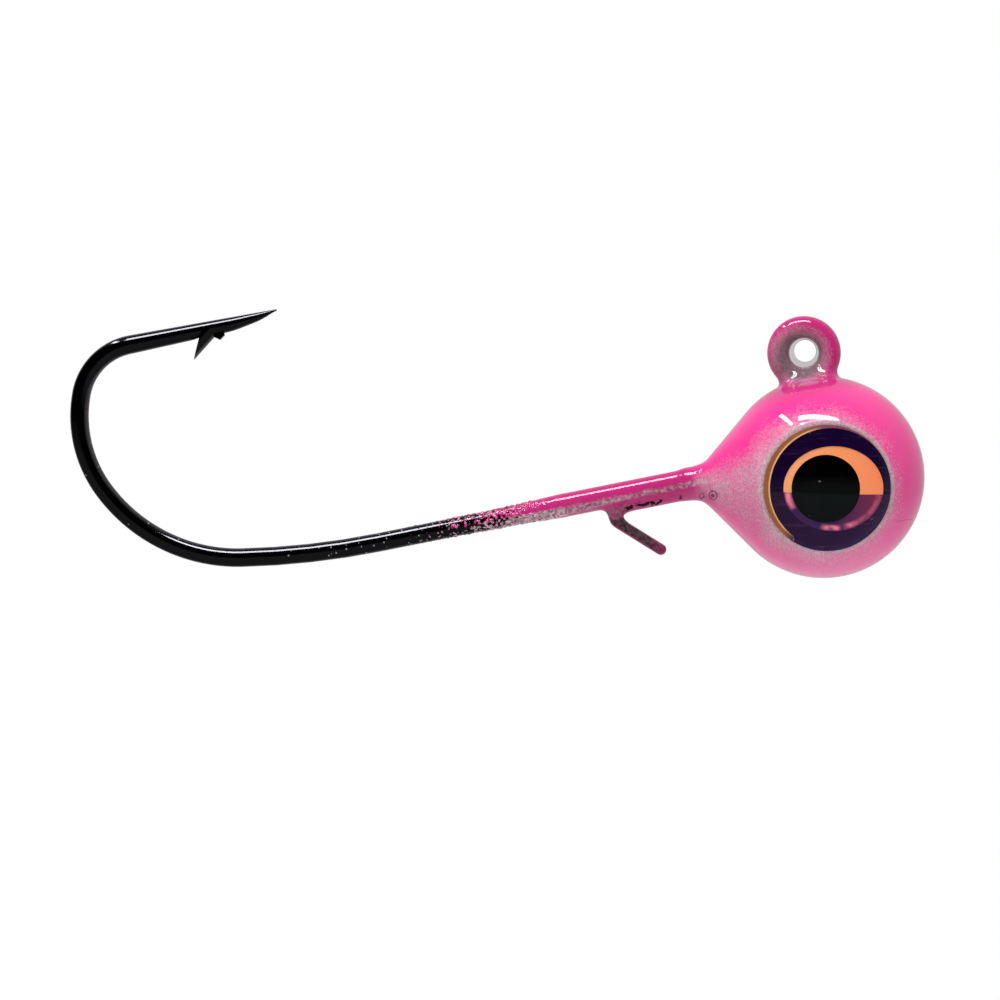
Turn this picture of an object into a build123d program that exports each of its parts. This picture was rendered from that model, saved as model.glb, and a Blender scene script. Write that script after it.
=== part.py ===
from build123d import *
from math import cos, radians, sin, sqrt, tan
import os

# Ball jig head with a 90 degree jig hook, in millimetres.
# The origin is the centre of the line tie's hole. +X points to the nose, +Y to the
# jig's left side and +Z up. The hook's wire lies in the XZ plane.

# Hook: one round wire, bent into an eye, a leg, a shank, a bend and a barbed point.
wire_diameter = 1.5
eye_bore = 2.5  # bare hole of the wire eye
shank_tilt = 11.3  # degrees that the shank falls towards the bend
leg_length = 8.2  # eye's centre to the shank's axis
corner_radius = 1.5  # centreline of the square corner inside the head
shank_length = 36.4  # leg's axis to the start of the bend
bend_arcs = ((63.0, 10.0), (13.3, 54.9), (10.0, 46.8), (4.85, 68.3))  # radius, degrees
point_length = 12.1  # end of the bend to the tip
point_taper = ((0.69, 0.76), (0.88, 0.45), (1.0, 0.06))  # share of length, of diameter
point_fall = 0.25  # the point's upper edge falls this far on its way to the tip

# Barb: a sliver of the wire raised from the underside of the point.
barb_root = 6.2  # tip of the point to the barb's root
barb_width = 0.9  # along the wire at the root
barb_reach = 1.08  # root to the barb's tip, along the wire
barb_drop = 1.48  # wire's underside to the barb's tip
notch_length = 1.6
notch_depth = 0.25
burr_length = 0.85  # raised stub ahead of the barb
burr_height = 0.3

# Bait keeper: a thin wire along the underside of the shank, folded back on itself.
keeper_diameter = 0.5
keeper_gap = 0.03  # between the keeper and the shank
keeper_start = 3.2  # leg's axis to the keeper's end inside the head
keeper_reach = 16.75  # leg's axis to the centre of the keeper's elbow
keeper_elbow = 0.7  # centreline radius
keeper_angle = 43.2  # degrees between the free arm and the shank
keeper_arm = 4.0  # straight length of the free arm

# Cast head: a ball, and a cone that narrows to a collar round the two wires.
ball_diameter = 15.74
ball_drop = 1.86  # shank's axis to the ball's centre
ball_setback = 0.44  # leg's axis to the ball's centre, towards the bend
neck_angle = 47.5  # half angle of the cone
neck_fillet = 2.4
collar_wall = 0.135  # lead round the two wires at the collar's end
collar_land = 0.12  # straight stretch after the neck's fillet

# Coats
powder_thickness = 0.1
clear_thickness = 0.1
coat_full_to = 21.5  # leg's axis to where the shank's coats start to thin
coat_end = 30.5  # leg's axis to where the powder coat ends
coat_lap = 0.5  # the clear coat passes the powder coat by this much
coat_end_share = 0.3  # thickness of the coats at their thin end
tie_hole = 1.76  # hole through the clear coat's web inside the line tie
tie_web = 0.7  # thickness of that web

# Stick-on eyes: adhesive, foil, two printed inks and a clear dome.
eye_diameter = 10.0
eye_drop = 1.09  # eye's centre below the ball's centre
eye_forward = -0.2  # the eye's centre is behind the ball's centre
eye_margin = 0.22  # coated flat round the eye
adhesive_inset = 0.1
adhesive_thickness = 0.1
foil_thickness = 0.08
ink_thickness = 0.03
ring_shift = 0.29  # the ring's centre is ahead of the eye's centre
ring_inset = 0.01  # foil left showing at the nose side
ring_band_nose = 0.69
ring_band_tail = 1.11
ring_band_sides = 1.48  # above and below the iris
iris_band = 0.67  # between the ring and the pupil, above and below it
pupil_shift = -0.12  # the pupil's centre is behind the eye's centre
dome_edge = 0.12  # upright edge of the dome
dome_rise = 1.6

wire_radius = wire_diameter / 2
eye_radius = (eye_bore + wire_diameter) / 2  # centreline of the wire eye
keeper_radius = keeper_diameter / 2
keeper_offset = wire_radius + keeper_gap + keeper_radius  # between the two wires' axes
bundle_height = wire_diameter + keeper_gap + keeper_diameter
coats = powder_thickness + clear_thickness

ball_radius = ball_diameter / 2
collar_radius = bundle_height / 2 + collar_wall
neck_half_angle = radians(neck_angle)
cone_length = (ball_radius * cos(neck_half_angle) - collar_radius) / tan(neck_half_angle)
fillet_reach = neck_fillet * tan(neck_half_angle / 2)
neck_length = ball_radius * sin(neck_half_angle) + cone_length + fillet_reach + collar_land
eye_flat = sqrt((ball_radius + coats) ** 2 - (eye_diameter / 2 + eye_margin) ** 2) - coats

adhesive_diameter = eye_diameter - 2 * adhesive_inset
ring_diameter = eye_diameter - 2 * (ring_shift + ring_inset)
iris_length = ring_diameter - ring_band_nose - ring_band_tail
iris_height = ring_diameter - 2 * ring_band_sides
iris_shift = ring_shift + (ring_band_tail - ring_band_nose) / 2
pupil_diameter = iris_height - 2 * iris_band

# The hook's plane: x along the shank to the nose, y up the leg, z towards -Y.
hook_plane = Plane(
    origin=(0, 0, 0),
    x_dir=(cos(radians(shank_tilt)), 0, sin(radians(shank_tilt))),
    z_dir=(0, -1, 0),
)

# The head's plane: x from the ball's centre to the middle of the two wires at the collar.
ball_centre = hook_plane.from_local_coords((-ball_setback, -leg_length - ball_drop, 0))
collar_rise = ball_drop + wire_radius - bundle_height / 2
collar_run = sqrt(neck_length**2 - collar_rise**2)
head_plane = Plane(
    origin=ball_centre,
    x_dir=hook_plane.y_dir * collar_rise - hook_plane.x_dir * collar_run,
    z_dir=hook_plane.z_dir,
)


def eye_plane(side, height=0.0):
    """The plane across one eye's axis at a height above the ball's centre."""
    reach = sqrt(ball_radius**2 - eye_drop**2 - eye_forward**2)
    outward = Vector(eye_forward, side * reach, -eye_drop).normalized()
    forward = Vector(1, 0, 0) - outward * outward.X
    return Plane(origin=ball_centre + outward * height, x_dir=forward, z_dir=outward)


def head_body(grown):
    """The head with no holes for its wires, every surface moved out by a distance."""
    ball_size = ball_radius + grown
    collar_size = collar_radius + grown
    end = neck_length + grown
    with BuildPart() as body:
        with BuildSketch(head_plane) as profile:
            with BuildLine():
                ball = JernArc((-ball_size, 0), (0, 1), ball_size, -(90 + neck_angle))
                cone_run = ((ball @ 1).Y - collar_size) / tan(neck_half_angle)
                foot = ((ball @ 1).X + cone_run, collar_size)
                Line(ball @ 1, foot)
                Polyline(foot, (end, collar_size), (end, 0), (-ball_size, 0))
            make_face()
            fillet(profile.vertices().sort_by_distance(foot)[0], neck_fillet - grown)
        revolve(axis=Axis(head_plane.origin, head_plane.x_dir))
        for side in (-1, 1):
            with BuildSketch(eye_plane(side, eye_flat + grown)):
                Circle(ball_size)
            extrude(amount=ball_size, mode=Mode.SUBTRACT)
    return body.part


def keeper_wire(grown):
    """The bait keeper's wire, every surface moved out by a distance."""
    with BuildPart() as wire:
        with BuildLine(hook_plane) as path:
            along = Line(
                (-keeper_start, -leg_length - keeper_offset),
                (-keeper_reach, -leg_length - keeper_offset),
            )
            elbow = JernArc(along @ 1, along % 1, keeper_elbow, 180 - keeper_angle)
            Line(elbow @ 1, elbow @ 1 + (elbow % 1) * (keeper_arm + grown))
        with BuildSketch(Plane(origin=path.line @ 0, z_dir=path.line % 0)):
            Circle(keeper_radius + grown)
        sweep()
    return wire.part


def line_tie(grown):
    """The wire eye as a closed ring, every surface moved out by a distance."""
    with BuildPart() as ring:
        with BuildSketch(Plane.XY):
            with Locations((eye_radius, 0)):
                Circle(wire_radius + grown)
        revolve(axis=Axis.Y)
    return ring.part


def coated_shape(grown, shank_end):
    """Everything inside a coat's outer surface, with its sleeve ending along the shank."""
    shank_plane = Plane(
        origin=hook_plane.from_local_coords((0, -leg_length, 0)),
        x_dir=-hook_plane.x_dir,
        z_dir=hook_plane.z_dir,
    )
    parts = (head_body(grown), keeper_wire(grown), line_tie(grown))
    with BuildPart() as shape:
        add(parts)
        with BuildSketch(shank_plane):
            with BuildLine():
                Polyline(
                    (keeper_start, 0),
                    (keeper_start, wire_radius + grown),
                    (coat_full_to, wire_radius + grown),
                    (shank_end, wire_radius + grown * coat_end_share),
                    (shank_end, 0),
                    close=True,
                )
            make_face()
        revolve(axis=Axis(shank_plane.origin, shank_plane.x_dir))
    return shape.part


# Hook

with BuildLine(hook_plane) as wire_path:
    leg = Line((0, -eye_radius), (0, corner_radius - leg_length))
    corner = JernArc(leg @ 1, leg % 1, corner_radius, -90)
    run = Line(corner @ 1, (-shank_length, -leg_length))
    for bend_radius, bend_turn in bend_arcs:
        run = JernArc(run @ 1, run % 1, bend_radius, -bend_turn)

# The point starts where the bend ends: x along it to the tip, y up.
point_plane = Plane(origin=run @ 1, x_dir=run % 1, z_dir=hook_plane.z_dir)
root_x = point_length - barb_root
barb_tip = (root_x - barb_reach, -wire_radius - barb_drop)
barb_heel = (root_x + barb_width, -wire_radius)

with BuildPart() as barb:
    with BuildSketch(point_plane):
        Polygon(barb_tip, barb_heel, (barb_heel[0], 0), (root_x, 0), align=None)
    extrude(amount=wire_radius, both=True)
    # Its back is round, like the wire that it was cut from.
    tip = point_plane.from_local_coords(barb_tip)
    back = point_plane.from_local_coords(barb_heel) - tip
    back_axis = tip + point_plane.z_dir.cross(back).normalized() * wire_radius
    with BuildSketch(Plane(origin=back_axis, z_dir=back)):
        Circle(wire_radius)
    extrude(amount=2 * (barb_drop + barb_reach), both=True, mode=Mode.INTERSECT)

tie_ring = line_tie(0)
with BuildPart() as hook:
    with BuildSketch(Plane(origin=wire_path.line @ 0, z_dir=wire_path.line % 0)):
        Circle(wire_radius)
    sweep(path=wire_path.line)
    add(tie_ring)
    for share, size in ((0.0, 1.0),) + point_taper:
        centre_y = wire_radius - point_fall * share - wire_radius * size
        centre = point_plane.from_local_coords((point_length * share, centre_y, 0))
        with BuildSketch(Plane(origin=centre, z_dir=point_plane.x_dir)):
            Circle(wire_radius * size)
    loft(ruled=True)
    # The flat that raising the barb left in the wire's underside.
    with BuildSketch(point_plane):
        Polygon(
            (root_x, -wire_diameter),
            (root_x, notch_depth - wire_radius),
            (root_x - notch_length, -wire_radius),
            (root_x - notch_length, -wire_diameter),
            align=None,
        )
    extrude(amount=wire_diameter, both=True, mode=Mode.SUBTRACT)
    add(barb.part)
    with BuildSketch(point_plane):
        Polygon(
            (barb_heel[0], 0),
            barb_heel,
            (barb_heel[0] + burr_length / 2, -wire_radius - burr_height),
            (barb_heel[0] + burr_length, -wire_radius),
            (barb_heel[0] + burr_length, 0),
            align=None,
        )
    extrude(amount=wire_radius / 2, both=True)

# Bait keeper and cast head

keeper_solid = keeper_wire(0)
with BuildPart() as bait_keeper:
    add(keeper_solid)

bare_head = head_body(0)
wires = (hook.part, bait_keeper.part)
with BuildPart() as lead_head:
    add(bare_head)
    add(wires, mode=Mode.SUBTRACT)

# Coats

powder_shape = coated_shape(powder_thickness, coat_end)
with BuildPart() as powder_coat:
    add(powder_shape)
    add((bare_head, *wires), mode=Mode.SUBTRACT)

clear_shape = coated_shape(coats, coat_end + coat_lap)
with BuildPart() as clear_coat:
    add(clear_shape)
    with BuildSketch(Plane.XZ):
        Circle(eye_bore / 2)
    extrude(amount=tie_web / 2, both=True)
    add((powder_shape, *wires), mode=Mode.SUBTRACT)
    with BuildSketch(Plane.XZ):
        Circle(tie_hole / 2)
    extrude(amount=tie_web, both=True, mode=Mode.SUBTRACT)

pieces = {
    "hook": hook,
    "bait_keeper": bait_keeper,
    "lead_head": lead_head,
    "powder_coat": powder_coat,
    "clear_coat": clear_coat,
}

# Eyes: each layer starts on the one below it.

for name, side in (("right", -1), ("left", 1)):
    adhesive_plane = eye_plane(side, eye_flat + coats)
    foil_plane = adhesive_plane.offset(adhesive_thickness)
    ink_plane = foil_plane.offset(foil_thickness)
    dome_plane = Plane(origin=ink_plane.origin, x_dir=ink_plane.x_dir, z_dir=-ink_plane.y_dir)

    with BuildPart() as adhesive:
        with BuildSketch(adhesive_plane):
            Circle(adhesive_diameter / 2)
        extrude(amount=adhesive_thickness)

    with BuildPart() as foil:
        with BuildSketch(foil_plane):
            Circle(eye_diameter / 2)
        extrude(amount=foil_thickness)

    with BuildPart() as ring_ink:
        with BuildSketch(ink_plane):
            with Locations((ring_shift, 0)):
                Circle(ring_diameter / 2)
            with Locations((iris_shift, 0)):
                Ellipse(iris_length / 2, iris_height / 2, mode=Mode.SUBTRACT)
        extrude(amount=ink_thickness)

    with BuildPart() as pupil_ink:
        with BuildSketch(ink_plane):
            with Locations((pupil_shift, 0)):
                Circle(pupil_diameter / 2)
        extrude(amount=ink_thickness)

    inks = (ring_ink.part, pupil_ink.part)
    with BuildPart() as dome:
        with BuildSketch(dome_plane):
            with BuildLine():
                rim = (eye_diameter / 2, dome_edge)
                TangentArc((0, dome_edge + dome_rise), rim, tangent=(1, 0))
                Polyline(rim, (eye_diameter / 2, 0), (0, 0), (0, dome_edge + dome_rise))
            make_face()
        revolve(axis=Axis(dome_plane.origin, ink_plane.z_dir))
        add(inks, mode=Mode.SUBTRACT)

    pieces[name + "_eye_adhesive"] = adhesive
    pieces[name + "_eye_foil"] = foil
    pieces[name + "_eye_ring_ink"] = ring_ink
    pieces[name + "_eye_pupil_ink"] = pupil_ink
    pieces[name + "_eye_dome"] = dome

os.makedirs("parts", exist_ok=True)
for name, piece in pieces.items():
    piece.part.label = name
    export_step(piece.part, f"parts/{name}.step")
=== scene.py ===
"""Ball jig head: the coated head, the hook, the stick-on eyes and a pale studio."""

import math
from functools import partial
from itertools import product

import bmesh
import bpy
import numpy as np
from mathutils import Matrix, Vector, noise


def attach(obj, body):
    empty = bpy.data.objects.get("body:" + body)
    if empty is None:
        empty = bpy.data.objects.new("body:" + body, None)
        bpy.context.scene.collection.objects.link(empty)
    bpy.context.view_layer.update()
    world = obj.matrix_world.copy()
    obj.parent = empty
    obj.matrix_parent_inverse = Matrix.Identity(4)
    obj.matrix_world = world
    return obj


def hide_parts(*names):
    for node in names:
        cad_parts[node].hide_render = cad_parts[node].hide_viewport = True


bl_info = {
    "name": "Ball Jig Head",
    "version": (1, 0, 0),
    "blender": (4, 5, 0),
    "location": "3D View > Sidebar > Jig Head",
    "description": "Builds the visible surfaces of a painted ball jig head",
    "category": "Add Mesh",
}

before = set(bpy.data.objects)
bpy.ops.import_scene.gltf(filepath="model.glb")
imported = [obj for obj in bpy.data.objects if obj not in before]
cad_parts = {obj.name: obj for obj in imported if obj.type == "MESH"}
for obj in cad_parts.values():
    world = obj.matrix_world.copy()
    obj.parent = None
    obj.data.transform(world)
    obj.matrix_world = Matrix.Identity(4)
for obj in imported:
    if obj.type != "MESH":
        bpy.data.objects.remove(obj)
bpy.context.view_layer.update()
MM = 0.001  # every helper below works in millimetres, and meshes are written in metres

# How far the coats round off each pair of surfaces where they meet, in millimetres.
NECK_ROUND, FLAT_ROUND, ELBOW_ROUND, WIRES_ROUND, SHANK_ROUND = 0.8, 0.15, 1.1, 0.9, 0.5
SADDLE_ROUND, SADDLE_EXTRA = 0.6, 0.7
TIE_SHIFT = 0.06  # how far the coat sits outwards on the line tie
SUNK = 0.02  # how far the coats' field ends inside the bare wire
BURR_PEAK, BURR_END = 0.42, 0.85  # along the wire from the barb's heel
NOTCH_LENGTH, NOTCH_DEPTH, NOTCH_HALF = 1.6, 0.25, 1.2  # the cut that raised the barb
WEB_LIP, WEB_EDGE, WEB_SHIFT = 0.95, 0.07, (0.12, 0.14)  # the clear rim in the line tie
CREASE = math.radians(35)  # edges sharper than this stay sharp
FLOOR_DROP, FLOOR_HALF = 60, 2500
BEHIND = (0.45, 0.89, 0)  # the bright side of the surround, as seen in gloss
DARKEST, BRIGHTEST = -0.1, 0.5  # the light grows between these cosines of the angle to BEHIND
LUMPS = ((4.6, 0.12), (9.0, 0.05))  # the thin coat's grains: how many in 1 mm, and their height
THINNEST = -0.05  # how far the thin coat's surface can lie inside the bare wire


# ---------------------------------------------------------------- properties


def linear(code):
    """An sRGB hex colour as linear red, green and blue."""
    levels = [int(code[i : i + 2], 16) / 255 for i in (0, 2, 4)]
    return tuple(c / 12.92 if c <= 0.04045 else ((c + 0.055) / 1.055) ** 2.4 for c in levels)


def length(name, description, default):
    """A length property whose default is given in millimetres."""
    return bpy.props.FloatProperty(
        name=name, description=description, default=default * MM, unit="LENGTH", precision=5
    )


def angle(name, description, default):
    """An angle property whose default is given in degrees."""
    return bpy.props.FloatProperty(
        name=name, description=description, default=math.radians(default), unit="ROTATION"
    )


def colour(name, description, code):
    """A colour property whose default is an sRGB hex code."""
    return bpy.props.FloatVectorProperty(
        name=name, description=description, default=linear(code), size=3, subtype="COLOR"
    )


class JigHookSettings(bpy.types.PropertyGroup):
    """The hook's wire, its bend, its point and its barb."""

    wire: length("Wire", "Diameter of the hook's wire", 1.5)
    eye_bore: length("Eye bore", "Bare hole of the wire eye", 2.5)
    tilt: angle("Tilt", "How far the shank falls towards the bend", 11.3)
    leg: length("Leg", "Eye's centre to the shank's axis", 8.2)
    corner: length("Corner", "Centreline radius of the square corner in the head", 1.5)
    shank: length("Shank", "Leg's axis to the start of the bend", 36.4)
    bend_radii: bpy.props.FloatVectorProperty(
        name="Bend radii",
        description="Centreline radius of each arc of the bend",
        size=4,
        default=tuple(r * MM for r in (63.0, 13.3, 10.0, 4.85)),
        unit="LENGTH",
    )
    bend_turns: bpy.props.FloatVectorProperty(
        name="Bend turns",
        description="How far each arc of the bend turns",
        size=4,
        default=tuple(math.radians(a) for a in (10.0, 54.9, 46.8, 68.3)),
        unit="ROTATION",
    )
    point: length("Point", "End of the bend to the tip", 12.1)
    fall: length("Point's fall", "How far the point's upper edge falls to the tip", 0.25)
    barb_root: length("Barb's root", "Tip of the point to the barb's root", 6.2)
    barb_width: length("Barb's width", "Along the wire at the barb's root", 0.9)
    barb_reach: length("Barb's reach", "Root to the barb's tip along the wire", 1.08)
    barb_drop: length("Barb's drop", "Wire's underside to the barb's tip", 1.48)
    burr: length("Burr", "Height of the stub ahead of the barb", 0.3)
    plate: colour("Plate", "Black nickel seen head on", "4a4a4e")


class JigHeadSettings(bpy.types.PropertyGroup):
    """The head, the bait keeper and the coats over them."""

    ball: length("Ball", "Diameter of the bare ball", 15.74)
    drop: length("Drop", "Shank's axis to the ball's centre", 1.86)
    setback: length("Setback", "Leg's axis to the ball's centre", 0.44)
    neck_angle: angle("Neck angle", "Half angle of the neck's cone", 47.5)
    neck_fillet: length("Neck fillet", "Radius where the neck meets the collar", 2.4)
    collar: length("Collar", "Lead round the wires where the neck ends", 0.135)
    collar_land: length("Collar land", "Straight part of the collar", 0.12)
    keeper: length("Keeper", "Diameter of the bait keeper's wire", 0.5)
    keeper_gap: length("Keeper gap", "Between the keeper and the shank", 0.03)
    keeper_reach: length("Keeper reach", "Leg's axis to the centre of the elbow", 16.75)
    keeper_elbow: length("Keeper elbow", "Centreline radius of the elbow", 0.7)
    keeper_angle: angle("Keeper angle", "Between the free arm and the shank", 43.2)
    keeper_arm: length("Keeper arm", "Straight length of the free arm", 4.0)
    coat: length("Coat", "Both coats together", 0.2)
    coat_full: length("Full coat", "Leg's axis to where the coats start to thin", 21.5)
    coat_end: length("Coat end", "Leg's axis to the last grains", 34.0)
    net: length("Net", "Spacing of the coat's mesh", 0.11)
    pink: colour("Pink", "Hot pink powder coat", "ea3a90")
    pearl: colour("Pearl", "Grey pearl dust on the sides", "c6a8b2")
    rose: colour("Rose", "Thin pink over the lower sides", "e870a4")


class JigEyeSettings(bpy.types.PropertyGroup):
    """The layers of each stick-on eye."""

    size: length("Eye", "Diameter of the eye", 10.0)
    drop: length("Drop", "Eye's centre below the ball's centre", 1.09)
    forward: length("Forward", "Eye's centre ahead of the ball's centre", -0.2)
    margin: length("Margin", "Coated flat round the eye", 0.22)
    adhesive: length("Adhesive", "Thickness of the adhesive", 0.1)
    foil: length("Foil", "Thickness of the foil", 0.08)
    ink: length("Ink", "Thickness of each print", 0.03)
    ring_shift: length("Ring shift", "Ring's centre ahead of the eye's centre", 0.29)
    ring: length("Ring", "Diameter of the printed ring", 9.4)
    iris_shift: length("Iris shift", "Iris's centre ahead of the eye's centre", 0.5)
    iris_length: length("Iris length", "Along the jig", 7.6)
    iris_height: length("Iris height", "Across the jig", 6.44)
    pupil: length("Pupil", "Diameter of the pupil", 5.1)
    pupil_shift: length("Pupil shift", "Pupil's centre ahead of the eye's centre", -0.12)
    edge: length("Edge", "Upright edge of the dome", 0.12)
    rise: length("Rise", "Height of the dome above its edge", 1.6)
    # The two foil colours and the ring ink's lower colour are painted reflection.
    foil_lit_reflection: colour("Bright foil", "Upper half of the iris", "ff9060")
    foil_dark_reflection: colour("Dark foil", "Lower half of the iris", "6e2b4b")
    ring_upper: colour("Ring ink", "Violet ink of the ring above the split", "1e083a")
    ring_ink_reflection: colour("Lower ring ink", "The same ink below the split", "351c46")


# ---------------------------------------------------------------- geometry


def mm(value):
    """A property in metres as millimetres."""
    return value / MM


class JigShape:
    """Every distance that the pieces share, in millimetres in the hook's plane.

    A point here is (along, up, side): along the shank to the nose, up the leg, and +Y.
    """

    def __init__(self, scene):
        """Works them out from the scene's properties."""
        hook, head, eye = scene.jig_hook, scene.jig_head, scene.jig_eye
        self.hook, self.head, self.eye = hook, head, eye
        self.wire = mm(hook.wire) / 2
        self.ring = (mm(hook.eye_bore) + mm(hook.wire)) / 2
        self.leg = mm(hook.leg)
        self.coat = mm(head.coat)
        self.ball = mm(head.ball) / 2 + self.coat
        self.keeper = mm(head.keeper) / 2
        self.keeper_line = -self.leg - self.wire - mm(head.keeper_gap) - self.keeper
        self.centre = np.array((-mm(head.setback), -self.leg - mm(head.drop), 0.0))
        bundle = mm(hook.wire) + mm(head.keeper_gap) + mm(head.keeper)
        collar = bundle / 2 + mm(head.collar)
        half, bare = head.neck_angle, mm(head.ball) / 2
        neck = bare * math.sin(half) + (bare * math.cos(half) - collar) / math.tan(half)
        neck += mm(head.neck_fillet) * math.tan(half / 2) + mm(head.collar_land)
        self.neck, self.collar = neck + 3 * self.coat, collar + self.coat / 8
        self.neck_turn = math.asin((mm(head.drop) + self.wire - bundle / 2) / neck)
        self.flat = math.sqrt(self.ball**2 - (mm(eye.size) / 2 + mm(eye.margin)) ** 2)

    def to_row(self, points):
        """Points in the hook's plane as points in the row's frame, still in millimetres."""
        along, up, side = np.moveaxis(np.asarray(points, float), -1, 0)
        c, s = math.cos(self.hook.tilt), math.sin(self.hook.tilt)
        return np.stack((along * c - up * s, side, along * s + up * c), -1)

    def to_plane(self, points):
        """The inverse of to_row."""
        x, y, z = np.moveaxis(np.asarray(points, float), -1, 0)
        c, s = math.cos(self.hook.tilt), math.sin(self.hook.tilt)
        return np.stack((x * c + z * s, z * c - x * s, y), -1)

    def eye_axis(self, side):
        """The unit vector in the row's frame out of one eye, with side -1 for the right one."""
        forward, drop = mm(self.eye.forward), mm(self.eye.drop)
        bare = mm(self.head.ball) / 2
        reach = math.sqrt(bare**2 - forward**2 - drop**2)
        return Vector((forward, side * reach, -drop)).normalized()

    def eye_matrix(self, side, height):
        """An eye's own frame: x to the nose, z out of the eye, at a height in millimetres."""
        out = self.eye_axis(side)
        nose = (Vector((1, 0, 0)) - out * out.x).normalized()
        origin = Vector(self.to_row(self.centre)) + out * height
        turn = Matrix((nose, out.cross(nose), out)).transposed().to_4x4()
        return Matrix.Translation(origin * MM) @ turn


def smooth_union(a, b, reach):
    """The lower of two distances, rounded where they meet within reach of each other."""
    near = np.maximum(reach - np.abs(a - b), 0) / reach
    return np.minimum(a, b) - near * near * reach / 4


def ramp(value, low, high):
    """0 below low, 1 above high, smooth between."""
    t = np.clip((value - low) / (high - low), 0, 1)
    return t * t * (3 - 2 * t)


def rod_distance(along, up, side, start, end):
    """Distance to a straight stretch in the hook's plane."""
    run = np.subtract(end, start)
    t = np.clip(((along - start[0]) * run[0] + (up - start[1]) * run[1]) / (run @ run), 0, 1)
    return np.sqrt(
        (along - start[0] - t * run[0]) ** 2 + (up - start[1] - t * run[1]) ** 2 + side**2
    )


def coat_field(shape, points):
    """Signed distance from the coats' outer surface, about: rounded where stretches meet."""
    along, up, side = points[..., 0], points[..., 1], points[..., 2]
    head = shape.head

    # Ball and neck, turned about the line from the ball's centre to the collar.
    a, b = along - shape.centre[0], up - shape.centre[1]
    c, s = math.cos(shape.neck_turn), math.sin(shape.neck_turn)
    t = -a * c + b * s
    r = np.sqrt((a * s + b * c) ** 2 + side**2)
    cn, sn = math.cos(head.neck_angle), math.sin(head.neck_angle)
    body = np.where(t * cn < r * sn, np.sqrt(t * t + r * r), t * sn + r * cn) - shape.ball
    collar = -smooth_union(shape.collar - r, shape.neck - t, NECK_ROUND)
    collar = np.maximum(collar, -t)
    body = smooth_union(body, collar, NECK_ROUND)
    for sign in (-1, 1):
        out = shape.to_plane(np.array(shape.eye_axis(sign)))
        facet = a * out[0] + b * out[1] + side * out[2] - shape.flat
        body = -smooth_union(-body, -facet, FLAT_ROUND)

    # Shank, with a coat that thins towards the bend.
    bare = ramp(-along, mm(head.coat_full), mm(head.coat_end))
    sleeve = shape.coat * (1 - bare) - SUNK * bare
    shank = np.sqrt((up + shape.leg) ** 2 + side**2) - shape.wire - sleeve
    shank = np.maximum(shank, along)

    # Bait keeper: a straight stretch, an elbow and the free arm.
    reach, elbow = -mm(head.keeper_reach), mm(head.keeper_elbow)
    line = shape.keeper_line
    wire = rod_distance(along, up, side, (0.0, line), (reach, line))
    turn = math.pi - head.keeper_angle
    da, db = along - reach, up - (line - elbow)
    bearing = np.arctan2(-da, db)
    arc = np.sqrt((np.hypot(da, db) - elbow) ** 2 + side**2)
    arc = np.where((bearing > 0) & (bearing < turn), arc, 99.0)
    start = np.array((reach - elbow * math.sin(turn), line - elbow + elbow * math.cos(turn)))
    heading = np.array((-math.cos(turn), -math.sin(turn)))
    arm = rod_distance(along, up, side, start, start + heading * mm(head.keeper_arm))
    wire = smooth_union(wire, np.minimum(arc, arm), ELBOW_ROUND) - shape.keeper - shape.coat

    # Line tie, with more coat outside than in its hole.
    tube = np.sqrt((np.hypot(along, up) - shape.ring - TIE_SHIFT) ** 2 + side**2)
    tie = tube - shape.wire - shape.coat + TIE_SHIFT

    wires = smooth_union(shank, wire, WIRES_ROUND)
    body = smooth_union(body, wires, SHANK_ROUND)
    # The saddle under the line tie is rounder on its faces than at its ends.
    middle = 1 - ramp(np.abs(along), 1.9, 2.9)
    return smooth_union(body, tie, SADDLE_ROUND + SADDLE_EXTRA * middle)


def net_surface(field, boxes, step):
    """Vertices and quads on a field's zero level, one vertex in each cell that it crosses.

    The boxes share one lattice, so where two overlap their cells are the same.
    """
    cells, quads = [], []
    for low, high in boxes:
        first = np.floor(np.array(low) / step).astype(int)
        last = np.ceil(np.array(high) / step).astype(int)
        axes = [np.arange(a, b + 1) * step for a, b in zip(first, last)]
        grid = np.stack(np.meshgrid(*axes, indexing="ij"), -1).astype(np.float32)
        inside = field(grid) < 0
        n = np.array(inside.shape)
        count = sum(
            inside[i : n[0] - 1 + i, j : n[1] - 1 + j, k : n[2] - 1 + k].astype(np.int8)
            for i, j, k in product((0, 1), repeat=3)
        )
        crossed = np.argwhere((count > 0) & (count < 8))
        cells.append(crossed + first)
        for axis in range(3):
            b, c = (axis + 1) % 3, (axis + 2) % 3
            here = np.moveaxis(inside, (axis, b, c), (0, 1, 2))
            edge = here[:-1, 1:-1, 1:-1] != here[1:, 1:-1, 1:-1]
            spots = np.argwhere(edge) + (0, 1, 1)
            flip = here[spots[:, 0], spots[:, 1], spots[:, 2]]
            corner = np.zeros((len(spots), 4, 3), int)
            for number, (db, dc) in enumerate(((-1, -1), (0, -1), (0, 0), (-1, 0))):
                corner[:, number, axis] = spots[:, 0]
                corner[:, number, b] = spots[:, 1] + db
                corner[:, number, c] = spots[:, 2] + dc
            corner[~flip] = corner[~flip][:, ::-1]
            quads.append(corner + first)
    cells = np.unique(np.concatenate(cells), axis=0)
    low = cells.min(0)
    span = cells.max(0) - low + 1

    def key(cell):
        """One whole number for each cell."""
        c = cell - low
        return (c[..., 0] * span[1] + c[..., 1]) * span[2] + c[..., 2]

    keys = key(cells)
    order = np.argsort(keys)
    quads = np.concatenate(quads)
    index = np.searchsorted(keys[order], key(quads))
    faces = np.unique(order[index], axis=0)
    return (cells + 0.5) * step, faces


def slope(field, points, reach=0.01):
    """A field's value and its gradient at each point."""
    value = field(points)
    steps = [field(points + reach * np.eye(3)[i]) - value for i in range(3)]
    return value, np.stack(steps, -1) / reach


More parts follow.
